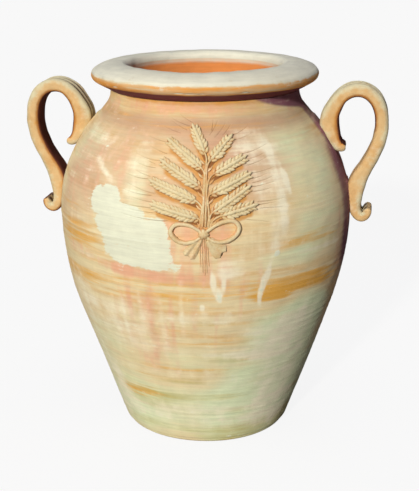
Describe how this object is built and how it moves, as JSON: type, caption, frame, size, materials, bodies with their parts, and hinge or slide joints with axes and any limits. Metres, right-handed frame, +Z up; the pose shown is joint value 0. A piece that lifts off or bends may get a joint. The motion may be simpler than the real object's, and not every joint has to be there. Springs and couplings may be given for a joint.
{
  "type": "amphora",
  "caption": "Terracotta garden amphora with a rolled lip, two S-curved strap handles and a wheat sheaf tied with a bow in relief, washed with lime and ochre.",
  "frame": {"origin": "centre of the foot, on the floor", "axes": "+Z up the jar's axis, -Y towards the wheat sheaf, the handles along +X and -X and turned 8.5 degrees clockwise seen from above"},
  "size_m": [0.5818, 0.4773, 0.6],
  "materials": {
    "washed_terracotta": "matt",
    "washed_terracotta_lip": "matt",
    "washed_terracotta_handle": "matt",
    "washed_terracotta_relief": "matt"
  },
  "bodies": {
    "root": {"base_disc": "washed_terracotta", "lower_wall": "washed_terracotta", "upper_wall": "washed_terracotta", "neck_collar": "washed_terracotta", "rim_lip": "washed_terracotta_lip", "handle_left": "washed_terracotta_handle", "handle_right": "washed_terracotta_handle", "wheat_ear_left_1": "washed_terracotta_relief", "wheat_ear_left_2": "washed_terracotta_relief", "wheat_ear_left_3": "washed_terracotta_relief", "wheat_ear_left_4": "washed_terracotta_relief", "wheat_ear_left_5": "washed_terracotta_relief", "wheat_ear_right_1": "washed_terracotta_relief", "wheat_ear_right_2": "washed_terracotta_relief", "wheat_ear_right_3": "washed_terracotta_relief", "wheat_ear_right_4": "washed_terracotta_relief", "wheat_ear_right_5": "washed_terracotta_relief", "bow_knot": "washed_terracotta_relief", "bow_loop_left": "washed_terracotta_relief", "bow_loop_right": "washed_terracotta_relief", "bow_tail_left": "washed_terracotta_relief", "bow_tail_right": "washed_terracotta_relief", "stalk_ends": "washed_terracotta_relief", "stalk_bundle": "washed_terracotta_relief"}
  },
  "joints": []
}
